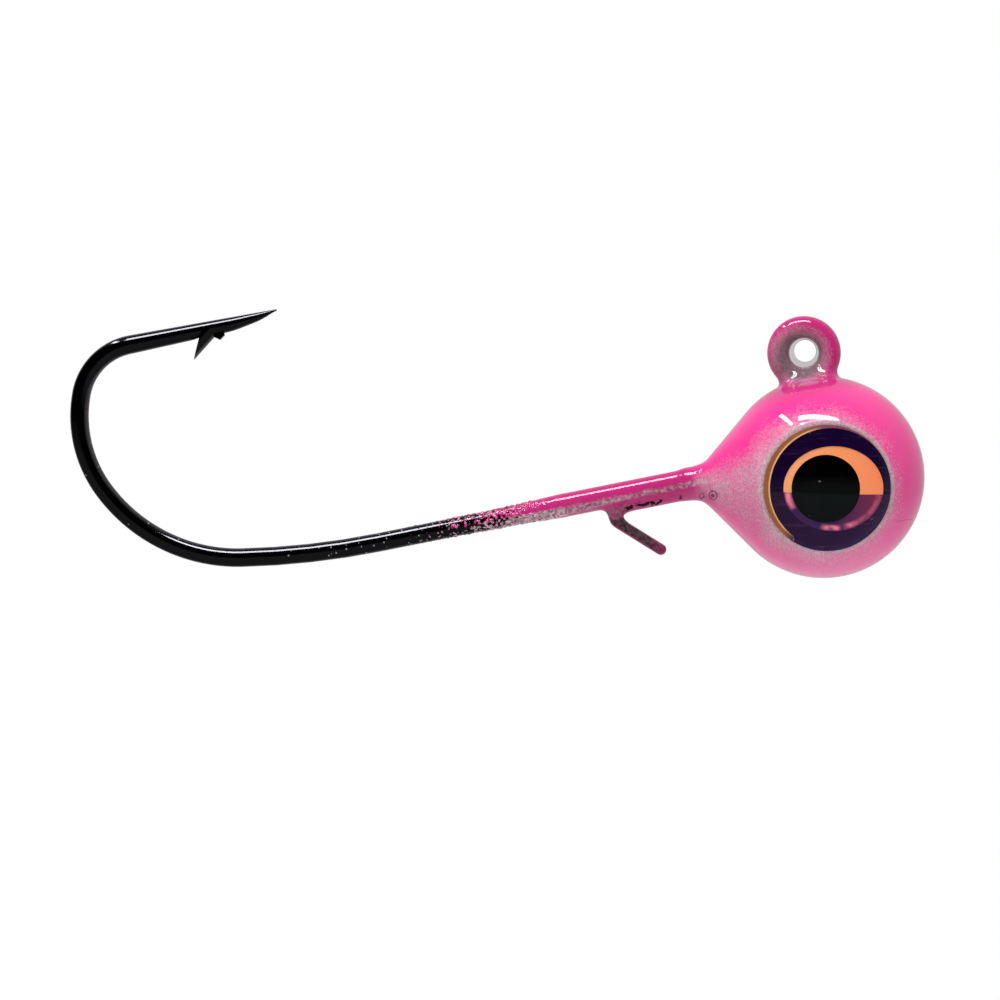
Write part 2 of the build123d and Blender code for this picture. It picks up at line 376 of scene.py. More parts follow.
def settle(field, points, faces, rounds=4):
    """Evens out a net's vertices and puts them on the field's zero level."""
    edges = np.concatenate([faces[:, [i, (i + 1) % 4]] for i in range(4)])
    for turn in range(rounds + 1):
        for _ in range(2):
            value, grade = slope(field, points)
            size = np.maximum((grade**2).sum(-1), 0.2)
            points = points - grade * (value / size)[:, None]
        if turn < rounds:
            total = np.zeros_like(points)
            count = np.zeros(len(points))
            for i, j in ((0, 1), (1, 0)):
                np.add.at(total, edges[:, i], points[edges[:, j]])
                np.add.at(count, edges[:, i], 1)
            points = 0.5 * points + 0.5 * total / np.maximum(count, 1)[:, None]
    grade = slope(field, points)[1]
    return points, grade / np.linalg.norm(grade, axis=-1, keepdims=True)


def make_mesh(name, points, faces, smooth=True):
    """A mesh object from points in millimetres in the row's frame."""
    mesh = bpy.data.meshes.new(name)
    mesh.from_pydata((np.asarray(points) * MM).tolist(), [], [list(map(int, f)) for f in faces])
    mesh.validate()
    piece = bpy.data.objects.new(name, mesh)
    bpy.context.scene.collection.objects.link(piece)
    shell = bmesh.new()
    shell.from_mesh(mesh)
    bmesh.ops.recalc_face_normals(shell, faces=shell.faces)
    shell.to_mesh(mesh)
    shell.free()
    if smooth:
        mesh.shade_smooth()
    return piece


def wrap(rows, segments, closed=False):
    """Quads between rows of points that each go once round; closed joins the ends."""
    faces = []
    for i, k in product(range(rows if closed else rows - 1), range(segments)):
        a, b = i * segments, (i + 1) % rows * segments
        after = (k + 1) % segments
        faces.append((a + k, a + after, b + after, b + k))
    return faces


def sweep(path, radii, segments=40):
    """Points and faces of a round tube along a path in the hook's plane, with closed ends."""
    path = np.asarray(path, float)
    ahead = np.gradient(path, axis=0)
    ahead /= np.linalg.norm(ahead, axis=1, keepdims=True)
    across = np.stack((-ahead[:, 1], ahead[:, 0]), -1)
    points, faces = [], wrap(len(path), segments)
    for spot, normal, radius in zip(path, across, radii):
        for k in range(segments):
            a = 2 * math.pi * k / segments
            offset = normal * radius * math.cos(a)
            points.append((*(spot + offset), radius * math.sin(a)))
    last = (len(path) - 1) * segments
    faces.append(tuple(reversed(range(segments))))
    faces.append(tuple(range(last, last + segments)))
    return np.array(points), faces


def lathe(profile, segments=96):
    """Points and faces of a closed solid turned about z; profile runs (radius, height)
    from one end of the axis to the other."""
    points = [(0.0, 0.0, profile[0][1])]
    faces = []
    rings = profile[1:-1]
    for radius, height in rings:
        for k in range(segments):
            a = 2 * math.pi * k / segments
            points.append((radius * math.cos(a), radius * math.sin(a), height))
    points.append((0.0, 0.0, profile[-1][1]))
    last = len(points) - 1
    for k in range(segments):
        after = (k + 1) % segments
        faces.append((0, 1 + k, 1 + after))
        for ring in range(len(rings) - 1):
            a = 1 + ring * segments
            faces.append((a + k, a + segments + k, a + segments + after, a + after))
        a = 1 + (len(rings) - 1) * segments
        faces.append((a + k, last, a + after))
    return points, faces


def combine(piece, tools, operation):
    """Applies an exact boolean of the tools to a piece and removes the tools."""
    for tool in tools:
        cut = piece.modifiers.new(operation, "BOOLEAN")
        cut.operation, cut.solver, cut.object = operation, "EXACT", tool
    graph = bpy.context.evaluated_depsgraph_get()
    mesh = bpy.data.meshes.new_from_object(piece.evaluated_get(graph))
    piece.modifiers.clear()
    piece.data = mesh
    for tool in tools:
        bpy.data.objects.remove(tool)
    return piece


# ---------------------------------------------------------------- materials


def add_node(tree, kind, inputs=(), **settings):
    """Adds a shader node with its settings and inputs.

    A kind can name its operation after a dot. inputs lists the first sockets in order, or maps
    a socket's number or name. Each is a value, a hex colour, a node (its first output in use)
    or an output.
    """
    kind, _, operation = kind.partition(".")
    made = tree.nodes.new("ShaderNode" + kind)
    if operation:
        made.operation = operation
    for name, value in settings.items():
        setattr(made, name, value)
    named = inputs if isinstance(inputs, dict) else dict(enumerate(inputs))
    for key, value in named.items():
        socket = made.inputs[key]
        if isinstance(value, bpy.types.Node):
            value = next(output for output in value.outputs if output.enabled)
        if isinstance(value, bpy.types.NodeSocket):
            tree.links.new(value, socket)
        elif socket.type == "RGBA":
            value = linear(value) if isinstance(value, str) else value
            socket.default_value = (*value, 1.0)
        else:
            socket.default_value = value
    return made


def new_material(name):
    """A material without nodes, and add_node for its tree."""
    material = bpy.data.materials.new(name)
    material.use_nodes = True
    material.node_tree.nodes.clear()
    return material, partial(add_node, material.node_tree)


def dress(piece, material):
    """Puts one material on a piece."""
    piece.data.materials.clear()
    piece.data.materials.append(material)


def place_nodes(add, rows):
    """Sockets for a place in millimetres, one for each row of a metre matrix."""
    spot = add("TexCoord").outputs["Object"]
    made = []
    for row in rows:
        dot = add("VectorMath.DOT_PRODUCT", (spot, row[:3]))
        made.append(add("Math.MULTIPLY_ADD", (dot, 1 / MM, row[3] / MM)))
    return made


def window(add, value, low, high, soft):
    """1 where a socket is between low and high, 0 outside, with soft edges."""
    rise, fall = (
        add("MapRange", (value, a, b))
        for a, b in ((low - soft, low), (high + soft, high))
    )
    return add("Math.MULTIPLY", (rise, fall))


def add_flaws_and_shade(add, side, along, up):
    """Where the coat failed: gaps on the keeper, burst bubbles and a hairline crack, with painted
    shade in the gaps' pits and round the bubbles' craters.
    """
    spot = add("TexCoord").outputs["Object"]
    fray = add("TexNoise", {"Vector": spot, "Scale": 1 / (0.55 * MM), "Detail": 2.0})
    # Bare patches where the keeper lies against the shank, painted near black as the shade in their
    # pits.
    line = add("Math.MULTIPLY_ADD", (fray, 1.1, up))
    gap = window(add, line, -8.98, -8.72, 0.05)
    reach = window(add, along, -16.4, -12.0, 0.2)
    gap = add("Math.MULTIPLY", (gap, reach))
    patch = add("TexNoise", {"Vector": spot, "Scale": 1 / (0.9 * MM), "Detail": 1.0})
    patch = window(add, patch, 0.5, 2.0, 0.04)
    flaws_and_shade = add("Math.MULTIPLY", (gap, patch))
    # Rims of bubbles that burst in the crease at the collar, and the larger one's centre: painted
    # shade of their craters.
    for x, y, radius, rim in (
        (-9.46, -9.75, 0.34, 0.05), (-9.46, -9.75, 0.13, 0.13), (-10.35, -9.6, 0.2, 0.05),
    ):
        place = add("CombineXYZ", {"X": along, "Y": up})
        run = add("VectorMath.DISTANCE", (place, (x, y, 0)))
        run = add("Math.MULTIPLY_ADD", (fray, 0.5, run))
        ring = window(add, run, radius + 0.25 - rim, radius + 0.25, 0.05)
        ring = add("Math.MULTIPLY", (ring, 0.7))
        flaws_and_shade = add("Math.MAXIMUM", (flaws_and_shade, ring))
    # A crack of about 1.7 mm from the eye's rim towards the nose.
    lean = add("Math.MULTIPLY_ADD", (along, 0.12, up))
    lean = add("Math.MULTIPLY_ADD", (fray, 0.35, lean))
    crack = window(add, lean, -13.83, -13.81, 0.02)
    reach = window(add, along, 4.1, 5.6, 0.1)
    crack = add("Math.MULTIPLY", (crack, reach))
    crack = add("Math.MULTIPLY", (crack, 0.6))
    flaws_and_shade = add("Math.MAXIMUM", (flaws_and_shade, crack))
    near = add("MapRange", (side, 0.1, -0.1))
    return add("Math.MULTIPLY", (flaws_and_shade, near))


def plane_rows(shape):
    """The hook's plane as matrix rows: along, up and side."""
    c, s = math.cos(shape.hook.tilt), math.sin(shape.hook.tilt)
    return ((c, 0, s, 0), (-s, 0, c, 0), (0, 1, 0, 0))


def add_stripe(add, shape, along, up):
    """How much dust lies along the shank: a stripe that widens downwards to the bend."""
    level = add("Math.ADD", (up, shape.leg))
    top = add("MapRange", (level, 0.05, -0.25, 0.0, 0.7))
    foot = add("MapRange", (along, -16.0, -25.0, 0.52, 1.1))
    low = add("Math.ADD", (foot, level))
    low = add("MapRange", (low, -0.12, 0.12))
    return add("Math.MULTIPLY", (top, low))


def add_gloss(add, base, roughness, coat_roughness, more):
    """Dull powder in a base colour under clear epoxy."""
    powder = {"Base Color": base, "Roughness": roughness, "Specular IOR Level": 0.0}
    epoxy = {"Coat Weight": 1.0, "Coat Roughness": coat_roughness, "Coat IOR": 1.55}
    return add("BsdfPrincipled", powder | epoxy | more)


def add_paint(shape):
    """Hot pink powder coat with pearl dust on its sides, under clear epoxy.

    The dust gives the sides a soft grey sparkle, and the epoxy gives sharp highlights.
    """
    head = shape.head
    material, add = new_material("pink_powder_under_epoxy")
    coord = add("TexCoord")
    spot, face = coord.outputs["Object"], coord.outputs["Normal"]
    along, up, side = place_nodes(add, plane_rows(shape))
    normal = add("SeparateXYZ", (face,))
    outward = add("Math.ABSOLUTE", (normal.outputs["Y"],))

    # On the head the dust fell on what faces sideways, more below and behind.
    spray = add("VectorMath.DOT_PRODUCT", (face, (-0.12, 0, -0.16)))
    facing = add("Math.MULTIPLY_ADD", (outward, 0.92, spray))
    clouds = add("TexNoise", {"Vector": spot, "Scale": 1 / (2.2 * MM), "Detail": 3.0})
    facing = add("Math.MULTIPLY_ADD", (clouds, 0.2, facing))
    dust = add("MapRange", (facing, 0.57, 0.94))
    # On the line tie it lies round the hole only, and more on the side towards the bend.
    tie = add("MapRange", (up, -3.9, -2.6))
    clean = add("Math.SUBTRACT", (1.0, tie))
    dust = add("Math.MULTIPLY", (dust, clean))
    hole = add("CombineXYZ", {"X": along, "Y": up})
    hole = add("VectorMath.DISTANCE", (hole, (-0.5, -0.25, 0)))
    hole = add("MapRange", (hole, 2.95, 1.6))
    saddle = add("MapRange", (up, -2.9, -1.9, 0.15, 1.0))
    hole = add("Math.MULTIPLY", (hole, saddle))
    dust = add("Math.MAXIMUM", (dust, hole))
    # Along the shank it is only a stripe below the middle, and the keeper's arm is all dust.
    stripe = add_stripe(add, shape, along, up)
    wires = add("MapRange", (along, -9.2, -11.2))
    arm = add("MapRange", (up, -9.6, -10.2))
    elbow = add("MapRange", (up, -8.8, -9.4, 0.0, 0.6))
    bend = window(add, along, -18.5, -16.4, 0.5)
    elbow = add("Math.MULTIPLY", (elbow, bend))
    arm = add("Math.MAXIMUM", (arm, elbow))
    arm = add("Math.MULTIPLY", (arm, wires))
    above = add("MapRange", (normal.outputs["Z"], -0.75, -0.45, 0.2, 1.0))
    above = add("Math.MULTIPLY", (arm, above))
    tip = add("MapRange", (along, -15.4, -14.2, 1.0, 0.5))
    above = add("Math.MULTIPLY", (above, tip))
    stripe = add("Math.MAXIMUM", (stripe, above))
    dust = add("Mix", {"Factor": wires, "A": dust, "B": stripe})

    # The dust's grains are about 0.1 mm on the head, and clump to about 0.2 mm on the wires, where
    # their tones also run darker as painted shade.
    tones = []
    for size, low, high in ((0.1, 0.72, 1.22), (0.18, 0.22, 1.1)):
        cells = add("TexVoronoi", {"Vector": spot, "Scale": 1 / (size * MM)})
        cell = add("SeparateXYZ", (cells.outputs["Color"],))
        tone = add("MapRange", (cell.outputs["Y"], 0.0, 1.0, low, high))
        tones.append((cell.outputs["X"], tone))
    chance = add("Mix", {"Factor": wires, "A": tones[0][0], "B": tones[1][0]})
    tone = add("Mix", {"Factor": wires, "A": tones[0][1], "B": tones[1][1]})
    share = add("Math.MULTIPLY_ADD", (chance, 0.35, -0.35))
    share = add("Math.ADD", (share, dust))
    share = add("MapRange", (share, 0.0, 0.85))
    lower = add("MapRange", (normal.outputs["Z"], -0.2, -0.95))
    pink = add("Mix", {"Factor": lower, "A": head.pink, "B": head.rose}, data_type="RGBA")
    # Painted shade: the pink is darker on the wires and on the line tie, and darkest on the
    # keeper's arm.
    painted_shade_on_pink = add("Math.MAXIMUM", (wires, tie))
    painted_shade_on_pink = add("Math.MULTIPLY_ADD", (arm, 0.6, painted_shade_on_pink))
    painted_shade_on_pink = add("MapRange", (painted_shade_on_pink, 0.0, 1.6, 1.0, 0.36))
    pink = add("VectorMath.SCALE", {0: pink, "Scale": painted_shade_on_pink})
    # Painted shade: the dust is darker round the hole and on the keeper's arm.
    thin = add("Math.MULTIPLY", (arm, 1.25))
    thin = add("Math.MAXIMUM", (hole, thin))
    thin = add("MapRange", (thin, 0.0, 1.25, 1.0, 0.14))
    tone = add("Math.MULTIPLY", (tone, thin))
    pearl = add("VectorMath.SCALE", {0: head.pearl, "Scale": tone})
    base = add("Mix", {"Factor": share, "A": pink, "B": pearl}, data_type="RGBA")
    # The coat's flaws go on in near black, together with the painted shade in them.
    flaws_and_shade = add_flaws_and_shade(add, side, along, up)
    base = add("Mix", {"Factor": flaws_and_shade, "A": base, "B": "0c080a"}, data_type="RGBA")
    ripple = add("TexNoise", {"Vector": spot, "Scale": 1 / (1.1 * MM), "Detail": 1.0})
    bump = add("Bump", {"Height": ripple, "Strength": 0.06, "Distance": 0.05 * MM})
    shader = add_gloss(add, base, 0.55, 0.02, {"Coat Normal": bump})
    add("OutputMaterial", (shader,))
    return material


def add_flecks(shape):
    """The coat where it thins out over the wire: fused grains of pink and grey powder."""
    head = shape.head
    material, add = new_material("fused_powder_grains")
    spot = add("TexCoord").outputs["Object"]
    along, up, side = place_nodes(add, plane_rows(shape))
    grains = add("TexVoronoi", {"Vector": spot, "Scale": 1 / (0.18 * MM)})
    grain = add("SeparateXYZ", (grains.outputs["Color"],))
    # The upper half took the pink and the lower half the grey, with some of each mixed in.
    level = add("Math.ADD", (up, shape.leg))
    stripe = add_stripe(add, shape, along, up)
    grey = add("Math.MULTIPLY_ADD", (grain.outputs["X"], 0.35, -0.35))
    grey = add("Math.ADD", (grey, stripe))
    grey = add("MapRange", (grey, 0.0, 0.5))
    tone = add("MapRange", (grain.outputs["Y"], 0.0, 1.0, 0.3, 1.3))
    pearl = add("VectorMath.SCALE", {0: head.pearl, "Scale": tone})
    pale = add("MapRange", (grain.outputs["Z"], 0.6, 0.7, 0.0, 0.8))
    thinned = add("MapRange", (along, -23.0, -27.0))
    pale = add("Math.MULTIPLY", (pale, thinned))
    # The pink here is darkened to 0.6, the same painted shade as on the coat's wires.
    pink = add("Mix", {"Factor": pale, "A": head.pink * 0.6, "B": "ee86b6"}, data_type="RGBA")
    base = add("Mix", {"Factor": grey, "A": pink, "B": pearl}, data_type="RGBA")
    # Powder less than 0.04 mm thick lets the dark wire through.
    radius = add("CombineXYZ", {"X": level, "Y": side})
    radius = add("VectorMath.LENGTH", (radius,))
    cover = add(
        "MapRange", (radius, shape.wire, shape.wire + 0.04), interpolation_type="SMOOTHSTEP"
    )
    base = add("Mix", {"Factor": cover, "A": "0c0a0c", "B": base}, data_type="RGBA")
    shader = add_gloss(add, base, 0.5, 0.03, {})
    add("OutputMaterial", (shader,))
    return material


def add_plate(hook):
    """Black nickel: a dark mirror, with stray grains of powder towards the head."""
    material, add = new_material("black_nickel")
    spot = add("TexCoord").outputs["Object"]
    place = add("SeparateXYZ", (spot,))
    grains = add("TexVoronoi", {"Vector": spot, "Scale": 1 / (0.2 * MM)})
    grain = add("SeparateXYZ", (grains.outputs["Color"],))
    near = add("MapRange", (place.outputs["X"], -45 * MM, -29 * MM, 0.012, 0.2))
    speck = add("Math.LESS_THAN", (grain.outputs["X"], near))
    dot = add("MapRange", (grains.outputs["Distance"], 0.42, 0.25))
    speck = add("Math.MULTIPLY", (speck, dot))
    off = add("MapRange", (place.outputs["Z"], -4 * MM, -10 * MM))
    speck = add("Math.MULTIPLY", (speck, off))
    metal = add("BsdfPrincipled", {"Base Color": hook.plate, "Metallic": 1.0, "Roughness": 0.09})
    powder = add("BsdfPrincipled", {"Base Color": "8f8a90", "Roughness": 0.4, "Coat Weight": 0.5})
    mixed = add("MixShader", (speck, metal, powder))
    add("OutputMaterial", (mixed,))
    return material


def add_metal(name, code, roughness, grain_size):
    """Bare metal under the coats, with the fine grain that casting or drawing leaves."""
    material, add = new_material(name)
    spot = add("TexCoord").outputs["Object"]
    grain = add("TexNoise", {"Vector": spot, "Scale": 1 / (grain_size * MM), "Detail": 4.0})
    rough = add("MapRange", (grain, 0.3, 0.7, roughness * 0.8, roughness * 1.2))
    bump = add("Bump", {"Height": grain, "Strength": 0.3, "Distance": 0.03 * MM})
    shader = add(
        "BsdfPrincipled", {"Base Color": code, "Metallic": 1.0, "Roughness": rough, "Normal": bump}
    )
    add("OutputMaterial", (shader,))
    return material


def add_clear(name, code):
    """Clear cured resin: bends the view of what is under it, and lets the lamps through."""
    material, add = new_material(name)
    spot = add("TexCoord").outputs["Object"]
    ripple = add("TexNoise", {"Vector": spot, "Scale": 1 / (2.5 * MM), "Detail": 1.0})
    bump = add("Bump", {"Height": ripple, "Strength": 0.05, "Distance": 0.05 * MM})
    resin = add(
        "BsdfPrincipled",
        {
            "Base Color": code,
            "Roughness": 0.01,
            "IOR": 1.5,
            "Transmission Weight": 1.0,
            "Normal": bump,
        },
    )
    air = add("BsdfTransparent", {"Color": code})
    path = add("LightPath")
    mixed = add("MixShader", (path.outputs["Is Shadow Ray"], resin, air))
    add("OutputMaterial", (mixed,))
    return material


def eye_place(add, shape, side):
    """An eye's own x to the nose and y up, in millimetres, as two sockets."""
    rows = shape.eye_matrix(side, 0).inverted()[:2]
    return place_nodes(add, (rows[0], rows[1] * -side))


def add_reflection_line(add, x, y):
    """1 above the line across the eye, 0 below: the edge of a painted reflection that gives the
    foil and the inks two tones.
    """
    level = add("Math.MULTIPLY_ADD", (x, 0.024, y))
    return add("MapRange", (level, -0.38, -0.34))


def add_dust(add, base, share):
    """Specks of dust of about 0.08 mm caught in the resin over a print."""
    spot = add("TexCoord").outputs["Object"]
    cells = add("TexVoronoi", {"Vector": spot, "Scale": 1 / (0.4 * MM)})
    cell = add("SeparateXYZ", (cells.outputs["Color"],))
    chosen = add("Math.LESS_THAN", (cell.outputs["X"], share))
    dot = add("MapRange", (cells.outputs["Distance"], 0.2, 0.08, 0.0, 0.7))
    speck = add("Math.MULTIPLY", (chosen, dot))
    return add("Mix", {"Factor": speck, "A": base, "B": "b8aab8"}, data_type="RGBA")


def add_foil(shape, side):
    """Embossed foil, its colours mostly painted light: a reflection that is copper above the split
    and plum below it, a rim with a gold highlight and a brown band, and a glow.
    """
    material, add = new_material("iris_foil_" + ("right" if side < 0 else "left"))
    eye = shape.eye
    x, y = eye_place(add, shape, side)
    half = add_reflection_line(add, x, y)
    across, plum = (
        add("MapRange", (x, a, b))
        for a, b in ((-3.5, 4.0), (0.6, 3.2))
    )
    # The foil's halves are a painted reflection: copper above the split and plum below, each
    # shading across the eye.
    upper = add("Mix", {"Factor": across, "A": "ffae72", "B": eye.foil_lit_reflection}, data_type="RGBA")
    lower = add("Mix", {"Factor": plum, "A": "3f2450", "B": eye.foil_dark_reflection}, data_type="RGBA")
    # Just inside the iris's edge the lower half catches pink light in broken streaks.
    iris_x = add("Math.ADD", (x, -mm(eye.iris_shift)))
    oval = add(
        "CombineXYZ",
        {
            "X": add("Math.MULTIPLY", (iris_x, 2 / mm(eye.iris_length))),
            "Y": add("Math.MULTIPLY", (y, 2 / mm(eye.iris_height))),
        },
    )
    out = add("VectorMath.LENGTH", (oval,))
    rim = window(add, out, 0.9, 0.94, 0.07)
    bearing = add("Math.ARCTAN2", (y, iris_x))
    streaks = window(add, bearing, -0.9, -0.2, 0.1)
    streaks = add("Math.MULTIPLY", (streaks, 0.3))
    for first, last in ((-3.05, -2.78), (-1.78, -1.5), (-1.22, -1.04)):
        part = window(add, bearing, first, last, 0.14)
        streaks = add("Math.MAXIMUM", (streaks, part))
    place = add("CombineXYZ", {"X": x, "Y": y})
    breaks = add("TexNoise", {"Vector": place, "Scale": 1.6, "Detail": 2.0})
    breaks = add("MapRange", (breaks, 0.35, 0.6, 0.3, 1.0))
    streaks = add("Math.MULTIPLY", (streaks, breaks))
    streaks = add("Math.MULTIPLY", (streaks, rim))
    lower = add("Mix", {"Factor": streaks, "A": lower, "B": "ff86a4"}, data_type="RGBA")
    base = add("Mix", {"Factor": half, "A": lower, "B": upper}, data_type="RGBA")
    # Outside the printed ring the foil is painted light: towards the tail a brown band, a painted
    # reflection of the dome's side wall, with a painted gold highlight along the ring; elsewhere it
    # is light above the split and dark below.
    ring = add("VectorMath.DISTANCE", (place, (mm(eye.ring_shift), 0, 0)))
    edge = mm(eye.ring) / 2
    gold_highlight = add("MapRange", (ring, edge + 0.08, edge + 0.16))
    rim = add("Mix", {"Factor": gold_highlight, "A": "f0b878", "B": "9a6040"}, data_type="RGBA")
    lean = add("Math.MULTIPLY_ADD", (y, -0.25, x))
    behind = add("MapRange", (lean, -1.5, -2.6))
    rest = add("Mix", {"Factor": half, "A": "2f1840", "B": "83505a"}, data_type="RGBA")
    rim = add("Mix", {"Factor": behind, "A": rest, "B": rim}, data_type="RGBA")
    outside = add("Math.GREATER_THAN", (ring, edge - 0.1))
    base = add("Mix", {"Factor": outside, "A": base, "B": rim}, data_type="RGBA")
    # The foil glows with its own colour: painted light, as the foil is no lamp, standing in for
    # light that its grating throws forward.
    base = add_dust(add, base, 0.05)
    shader = add(
        "BsdfPrincipled",
        {
            "Base Color": base,
            "Roughness": 0.4,
            "Specular IOR Level": 0.0,
            # Painted glow.
            "Emission Color": base,
            "Emission Strength": 0.38,
        },
    )
    add("OutputMaterial", (shader,))
    return material


def add_ink(name, shape, side, upper, lower, streak):
    """Printing ink over foil, lighter below the split: a painted reflection."""
    material, add = new_material(name)
    x, y = eye_place(add, shape, side)
    half = add_reflection_line(add, x, y)
    place = add("CombineXYZ", {"X": x, "Y": y})
    # Brushed streaks across the foil, about 0.3 mm wide and a few millimetres long.
    turned = add("Mapping", {"Vector": place, "Rotation": (0, 0, -0.5), "Scale": (0.3, 2.2, 1.0)})
    streaks = add("TexNoise", {"Vector": turned, "Scale": 1.3, "Detail": 3.0})
    streaks = add("MapRange", (streaks, 0.55, 0.8, 0.0, streak))
    # Below the split the ink is lighter: painted reflection.
    base = add("Mix", {"Factor": half, "A": lower, "B": upper}, data_type="RGBA")
    base = add("Mix", {"Factor": streaks, "A": base, "B": "9a6a9c"}, data_type="RGBA")
    shader = add(
        "BsdfPrincipled",
        {"Base Color": add_dust(add, base, 0.07), "Roughness": 0.35, "Specular IOR Level": 0.0},
    )
    add("OutputMaterial", (shader,))
    return material


# ---------------------------------------------------------------- operators


def hook_path(shape):
    """The centreline of the wire and its radius at each spot, in the hook's plane."""
    hook = shape.hook
    corner = mm(hook.corner)
    path = [(0.0, y) for y in np.linspace(-shape.ring, corner - shape.leg, 6)]
    for a in np.linspace(0, math.pi / 2, 9)[1:]:
        path.append((-corner * (1 - math.cos(a)), corner - shape.leg - corner * math.sin(a)))
    path += [(x, -shape.leg) for x in np.linspace(-corner, -mm(hook.shank), 30)[1:]]
    heading = math.pi
    spot = np.array(path[-1])
    for radius, turn in zip(hook.bend_radii, hook.bend_turns):
        radius = mm(radius)
        centre = spot + radius * np.array((math.sin(heading), -math.cos(heading)))
        count = max(4, int(math.degrees(turn) / 2.5))
        for a in np.linspace(0, turn, count + 1)[1:]:
            h = heading - a
            path.append(centre - radius * np.array((math.sin(h), -math.cos(h))))
        heading -= turn
        spot = np.array(path[-1])
    radii = [shape.wire] * len(path)
    ahead = np.array((math.cos(heading), math.sin(heading)))
    up = np.array((-ahead[1], ahead[0]))
    knots = ((0.0, 1.0), (0.69, 0.76), (0.88, 0.45), (1.0, 0.06))
    for share in np.linspace(0, 1, 41)[1:]:
        near = np.clip(share + np.linspace(-0.04, 0.04, 9), 0, 1)
        size = np.interp(near, *zip(*knots)).mean()
        drop = shape.wire * (1 - size) - mm(hook.fall) * share
        path.append(spot + ahead * mm(hook.point) * share + up * drop)
        radii.append(shape.wire * size)
    return np.array(path), np.array(radii), spot, ahead, up


def prism(shape, name, corners, half):
    """A solid with straight sides across the hook's plane."""
    count = len(corners)
    points = [(x, y, s) for s in (-half, half) for x, y in corners]
    faces = [tuple(range(count)), tuple(range(2 * count - 1, count - 1, -1))]
    faces += [
        (i, i + count, (i + 1) % count + count, (i + 1) % count) for i in range(count)
    ]
    return make_mesh(name, shape.to_row(points), faces, smooth=False)


class JIGHEAD_OT_hook(bpy.types.Operator):
    """Build the hook: wire eye, leg, shank, bend, point and barb"""

    bl_idname = "jighead.hook"
    bl_label = "Build Hook"

    def execute(self, context):
        """Sweep the wire, then raise the barb from its underside."""
        shape = JigShape(context.scene)
        hook = shape.hook
        path, radii, bend_end, ahead, up = hook_path(shape)
        points, faces = sweep(path, radii)
        piece = make_mesh("hook_wire", shape.to_row(points), faces)
        ring = [
            (shape.ring * math.cos(a), shape.ring * math.sin(a))
            for a in np.linspace(0, 2 * math.pi, 73)[:-1]
        ]
        tie, segments = [], 40
        for x, y in ring:
            for k in range(segments):
                a = 2 * math.pi * k / segments
                grow = 1 + shape.wire * math.cos(a) / shape.ring
                tie.append((x * grow, y * grow, shape.wire * math.sin(a)))
        tie = make_mesh("tie_ring", shape.to_row(tie), wrap(len(ring), segments, closed=True))

        def at(x, y):
            """A spot measured along the point and out from its inner side."""
            return tuple(bend_end + ahead * x - up * y)

        wire = shape.wire
        root = mm(hook.point) - mm(hook.barb_root)
        heel = root + mm(hook.barb_width)
        tip = at(root - mm(hook.barb_reach), wire + mm(hook.barb_drop))
        barb = prism(shape, "barb", [tip, at(heel, wire), at(heel, 0), at(root, 0)], wire)
        back = np.subtract(tip, at(heel, wire))
        back /= np.linalg.norm(back)
        inward = np.array((back[1], -back[0]))
        if inward @ (np.array(at(root, 0)) - at(heel, wire)) < 0:
            inward = -inward
        middle = np.array(at(heel, wire)) + inward * wire
        rod, rod_faces = sweep([middle - back * 6, middle + back * 6], [wire, wire], 64)
        rod = make_mesh("barb_back", shape.to_row(rod), rod_faces)
        barb = combine(barb, [rod], "INTERSECT")
        corners = (
            (0, 0), (0, wire), (BURR_PEAK, wire + mm(hook.burr)), (BURR_END, wire), (BURR_END, 0)
        )
        burr = prism(shape, "burr", [at(heel + x, y) for x, y in corners], wire / 2)
        corners = (
            (0, 2 * wire), (0, wire - NOTCH_DEPTH), (-NOTCH_LENGTH, wire), (-NOTCH_LENGTH, 2 * wire)
        )
        notch = prism(shape, "notch", [at(root + x, y) for x, y in corners], NOTCH_HALF)
        piece = combine(piece, [notch], "DIFFERENCE")
        piece = combine(piece, [tie, barb, burr], "UNION")
        piece.data.shade_smooth()
        piece.data.set_sharp_from_angle(angle=CREASE)
        dress(piece, add_plate(hook))
        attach(piece, "root")
        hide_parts("hook")
        return {"FINISHED"}


def build_sleeve(shape):
    """The sleeve that thins to separate grains standing on the wire."""
    full, stop = mm(shape.head.coat_full), mm(shape.head.coat_end)
    start = full - 0.5
    rows, segments = 230, 90
    sleeve = []
    # Thickness along the sleeve: grains cover half the wire where it is nil.
    starts = (full, full + 3.0, full + 6.0, full + 8.5, full + 10.5, stop)
    levels = (shape.coat + 0.03, 0.1, 0.04, 0.01, -0.01, -0.04)
    tops = (shape.coat + 0.04, 0.2, 0.12, 0.08, 0.05, 0.03)
    for along in np.linspace(-start, -stop, rows):
        thin = float(ramp(-along, full - 0.3, stop))
        level = float(np.interp(-along, starts, levels)) - 0.03
        top = float(np.interp(-along, starts, tops))
        rough = min(1, thin * 8)
        for k in range(segments):
            a = 2 * math.pi * k / segments
            up, side = math.cos(a), math.sin(a)
            spot = Vector((along, up * shape.wire, side * shape.wire))
            lumps = sum(noise.noise(spot * often) * height for often, height in LUMPS)
            grown = level + lumps * rough + 0.004
            radius = shape.wire + min(max(grown, THINNEST), top)
            sleeve.append((along, up * radius - shape.leg, side * radius))
    faces = wrap(rows, segments)
    faces.append(tuple(range(segments)))
    faces.append(tuple(range((rows - 1) * segments, rows * segments)))
    fade = make_mesh("coat_fade", shape.to_row(sleeve), faces)
    dress(fade, add_flecks(shape))
    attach(fade, "root")


